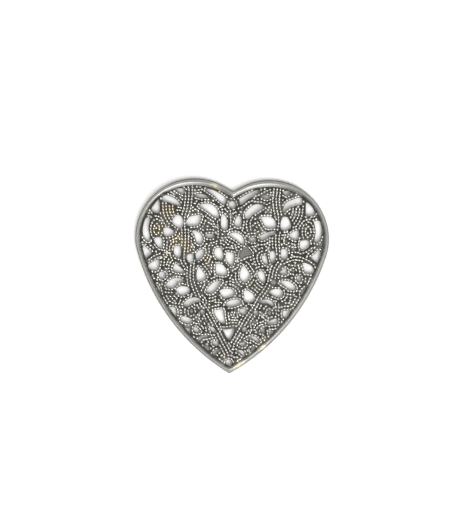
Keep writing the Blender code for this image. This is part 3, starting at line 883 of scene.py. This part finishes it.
@dataclass
class OpenworkPanel:
    """The pierced field with its beads, bars and pockets."""

    finish: PlateFinish
    smooth_finish: PlateFinish
    # The sheet, which lies a little under the solid's top so that the beads stand within it.
    sheet_drop: float = 0.12 * MM
    edge_round: float = 0.09 * MM
    edge_segments: int = 2
    tuck: float = 0.12 * MM
    # The beads: half their length and width, and how much smaller some are.
    bead_length: float = 0.405 * MM
    bead_width: float = 0.29 * MM
    bead_top: float = 1.30 * MM
    bead_sink: float = 0.03 * MM
    bead_sizes: tuple[float, float] = (0.88, 1.0)
    bead_faces: tuple[int, int] = (8, 6)
    bead_sharp: float = 80.0
    seed: int = 7
    batch: int = 40
    # The pockets' floors and the bars.
    pocket_drop: float = 0.22 * MM
    pocket_overlap: float = 0.02 * MM
    bar_radius: float = 0.24 * MM
    bar_lift: float = 0.05 * MM
    bar_faces: tuple[int, int] = (16, 12)
    # Read from the solid by build().
    top: float = field(default=0.0, init=False)
    underside: float = field(default=0.0, init=False)

    def build(self) -> None:
        """Make the sheet, its pocket floors, the beads and the bars."""
        reader = PanelLines()
        lines = reader.read(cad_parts[Node.PANEL.value])
        log.info("%d windows, %d pockets", len(lines[Cut.WINDOW]), len(lines[Cut.POCKET]))
        self.top = reader.top - self.sheet_drop
        self.underside = reader.underside
        material = self.finish.build()
        self._sheet(lines, material)
        smooth = self.smooth_finish.build()
        self._pocket_floors(lines[Cut.POCKET], smooth)
        bars = [(Vector(a) * MM, Vector(b) * MM) for a, b in BARS]
        self._bars(bars, smooth)
        stems = [([Vector(p) * MM for p in line], offsets) for line, offsets in STEMS]
        for centre, rings in SCROLLS:
            stems += [(ellipse(centre, axes), (0.0,)) for axes in rings]
        self._beads(BeadPlan(lines, bars, stems).beads(), material)

    def _sheet(self, lines: Lines, material: bpy.types.Material) -> None:
        """The pierced sheet, with its window edges rounded over.

        Args:
            lines: The panel's outline, windows and pockets.
            material: Its finish.
        """
        data = bmesh.new()
        outer = shifted(rounded(lines[Cut.OUTER][0], EDGE_PARTS), -self.tuck)
        holes = [rounded(loop, EDGE_PARTS) for loop in lines[Cut.WINDOW] + lines[Cut.POCKET]]
        for loop in [outer, *holes]:
            verts = [data.verts.new((p.x, p.y, self.top)) for p in loop]
            for a, b in zip(verts, verts[1:] + verts[:1]):
                data.edges.new((a, b))
        bmesh.ops.triangle_fill(data, use_beauty=True, edges=data.edges)
        bmesh.ops.recalc_face_normals(data, faces=data.faces)
        if sum(face.normal.z for face in data.faces) < 0.0:
            bmesh.ops.reverse_faces(data, faces=data.faces)
        self._deepen(data, list(data.faces), self.underside - self.top)
        bmesh.ops.recalc_face_normals(data, faces=data.faces)
        lips = [edge for edge in data.edges
                if all(vert.co.z > self.top - SAME_POINT for vert in edge.verts)
                and any(abs(face.normal.z) < UPRIGHT for face in edge.link_faces)]
        bmesh.ops.bevel(data, geom=lips, offset=self.edge_round, offset_type="OFFSET",
                        segments=self.edge_segments, profile=0.5, affect="EDGES", material=-1,
                        clamp_overlap=True)
        new_piece("pierced_sheet", data, material, Node.PANEL)

    def _deepen(self, data: bmesh.types.BMesh, faces: list[bmesh.types.BMFace], depth: float) -> None:
        """Turn flat faces into a closed plate.

        Args:
            data: The mesh that they are in.
            faces: The faces.
            depth: How far up the plate's other side lies, in metres, so less than 0 for down.
        """
        under = bmesh.ops.extrude_face_region(data, geom=faces, use_keep_orig=True)
        lowered = [item for item in under["geom"] if isinstance(item, bmesh.types.BMVert)]
        bmesh.ops.translate(data, verts=lowered, vec=(0.0, 0.0, depth))

    def _pocket_floors(self, pockets: list[Loop], material: bpy.types.Material) -> None:
        """The floors of the blind pockets, let a little way under the sheet.

        Args:
            pockets: The pockets' lines.
            material: The floors' finish.
        """
        data = bmesh.new()
        depth = self.underside - self.top + self.pocket_drop + self.pocket_overlap
        for loop in pockets:
            wide = shifted(rounded(loop, EDGE_PARTS), self.edge_round)
            verts = [data.verts.new((p.x, p.y, self.top - self.pocket_drop)) for p in wide]
            self._deepen(data, [data.faces.new(verts)], depth)
        bmesh.ops.recalc_face_normals(data, faces=data.faces)
        new_piece("pocket_floors", data, material, None)

    def _bars(self, bars: list[tuple[Vector, Vector]], material: bpy.types.Material) -> None:
        """Short half-round ribs, with round ends.

        Args:
            bars: The start and end of each.
            material: Their finish.
        """
        data = bmesh.new()
        around, upward = self.bar_faces
        for start, end in bars:
            along = end - start
            middle = (start + end) / 2
            turn = Matrix.Rotation(math.atan2(along.y, along.x), 4, "Z")
            lie = Matrix.Rotation(RIGHT_ANGLE, 4, "Y")
            stretch = Matrix.Diagonal((1.0, 1.0, along.length / 2 / self.bar_radius, 1.0))
            place = Matrix.Translation((middle.x, middle.y, self.top + self.bar_lift))
            bmesh.ops.create_uvsphere(data, u_segments=around, v_segments=upward,
                                      radius=self.bar_radius, matrix=place @ turn @ lie @ stretch)
        new_piece("smooth_ribs", data, material, None)

    def _dome(self) -> bpy.types.Mesh:
        """One bead's shape: the upper half of a ball, closed underneath.

        Returns:
            The shape, 1 m in radius.
        """
        one = bmesh.new()
        around, upward = self.bead_faces
        bmesh.ops.create_uvsphere(one, u_segments=around, v_segments=upward, radius=1.0)
        lower = [face for face in one.faces if face.calc_center_median().z < 0.0]
        bmesh.ops.delete(one, geom=lower, context="FACES")
        bmesh.ops.holes_fill(one, edges=one.edges)
        dome = bpy.data.meshes.new("dome")
        one.to_mesh(dome)
        one.free()
        return dome

    def _beads(self, beads: list[Bead], material: bpy.types.Material) -> None:
        """Every bead: one dome, set down along its row with a slightly different size.

        Args:
            beads: The beads' places.
            material: Their finish.
        """
        dome = self._dome()
        base = self.top - self.bead_sink
        rise = self.bead_top - base
        sizes = np.random.default_rng(self.seed).uniform(*self.bead_sizes, (len(beads), 2))
        data = bmesh.new()
        for first in range(0, len(beads), self.batch):
            group = bmesh.new()
            for bead, (wide, tall) in list(zip(beads, sizes))[first:first + self.batch]:
                count = len(group.verts)
                group.from_mesh(dome)
                group.verts.ensure_lookup_table()
                shape = (self.bead_length * wide, self.bead_width * wide, rise * tall, 1.0)
                stance = (Matrix.Translation((*bead.place, base))
                          @ Matrix.Rotation(bead.heading, 4, "Z") @ Matrix.Diagonal(shape))
                bmesh.ops.transform(group, matrix=stance, verts=group.verts[count:])
            part = bpy.data.meshes.new("bead_group")
            group.to_mesh(part)
            group.free()
            data.from_mesh(part)
            bpy.data.meshes.remove(part)
        bpy.data.meshes.remove(dome)
        log.info("%d beads", len(beads))
        new_piece("beads", data, material, None, sharp=self.bead_sharp)


@dataclass(frozen=True)
class Lamp:
    """One soft square lamp that looks at the heart: place and side in metres, power in watts."""

    name: str
    place: tuple[float, float, float]
    side: float
    power: float

    def build(self) -> None:
        """Hang the lamp."""
        lamp = bpy.data.lights.new(self.name, "AREA")
        lamp.size = self.side
        lamp.energy = self.power
        item = bpy.data.objects.new(self.name, lamp)
        item.location = self.place
        item.rotation_euler = (-Vector(self.place)).to_track_quat("-Z", "Y").to_euler()
        bpy.context.scene.collection.objects.link(item)


KEY = Lamp("key", (0.17, -0.28, 0.38), 0.30, 2.1)
FILL = Lamp("fill", (-0.16, 0.30, 0.38), 0.34, 0.4)


@dataclass
class Studio:
    """The pale table, the soft lights and the camera straight above."""

    floor_size: float = 1.6
    floor_colour: Colour = (0.95, 0.95, 0.94)
    floor_roughness: float = 0.9
    floor_gloss: float = 0.2
    sky_colour: Colour = (0.99, 0.99, 0.98)
    horizon: float = 0.18
    zenith: float = 0.86
    view_height: float = 123.3 * MM
    aim: Place = (-0.6 * MM, 2.6 * MM)
    distance: float = 0.50
    nearest: float = 0.01
    turn: float = math.radians(1.25)
    film_height: float = 36.0

    def build(self) -> None:
        """Set the heart's surroundings."""
        self._floor()
        self._world()
        KEY.build()
        FILL.build()
        self._camera()
        bpy.context.scene.view_settings.view_transform = "Standard"

    def _floor(self) -> None:
        """A sheet of matt white card."""
        data = bmesh.new()
        bmesh.ops.create_grid(data, x_segments=1, y_segments=1, size=self.floor_size / 2)
        mesh = bpy.data.meshes.new("card")
        data.to_mesh(mesh)
        data.free()
        graph = NodeGraph("white_card")
        graph.shader.inputs["Base Color"].default_value = (*self.floor_colour, 1.0)
        graph.shader.inputs["Roughness"].default_value = self.floor_roughness
        graph.shader.inputs["Specular IOR Level"].default_value = self.floor_gloss
        mesh.materials.append(graph.material)
        floor = bpy.data.objects.new("card", mesh)
        bpy.context.scene.collection.objects.link(floor)

    def _world(self) -> None:
        """A room that is darker at the sides than overhead."""
        world = bpy.data.worlds.new("studio")
        world.use_nodes = True
        tree = world.node_tree
        background = tree.nodes["Background"]
        background.inputs["Color"].default_value = (*self.sky_colour, 1.0)
        split = tree.nodes.new("ShaderNodeSeparateXYZ")
        tree.links.new(tree.nodes.new("ShaderNodeTexCoord").outputs["Generated"], split.inputs[0])
        height = tree.nodes.new("ShaderNodeMapRange")
        height.inputs["To Min"].default_value = self.horizon
        height.inputs["To Max"].default_value = self.zenith
        squared = tree.nodes.new("ShaderNodeMath")
        squared.operation = "POWER"
        squared.inputs[1].default_value = 2.0
        tree.links.new(split.outputs["Z"], squared.inputs[0])
        tree.links.new(squared.outputs[0], height.inputs["Value"])
        tree.links.new(height.outputs["Result"], background.inputs["Strength"])
        bpy.context.scene.world = world

    def _camera(self) -> None:
        """A long lens straight above, turned a little, as the heart lies."""
        lens = bpy.data.cameras.new("camera")
        lens.sensor_width = self.film_height
        lens.lens = self.film_height * self.distance / self.view_height
        lens.clip_start = self.nearest
        camera = bpy.data.objects.new("camera", lens)
        camera.location = (*self.aim, self.distance)
        camera.rotation_euler = (0.0, 0.0, self.turn)
        bpy.context.scene.collection.objects.link(camera)
        bpy.context.scene.camera = camera


def main() -> None:
    """Build the heart's looks and its surroundings."""
    logging.basicConfig(level=logging.INFO, format="%(name)s: %(message)s")
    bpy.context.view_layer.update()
    RimFrame(POLISHED_PLATE).build()
    OpenworkPanel(ANTIQUED_PLATE, SATIN_PLATE).build()
    Studio().build()


if __name__ == "__main__":
    main()
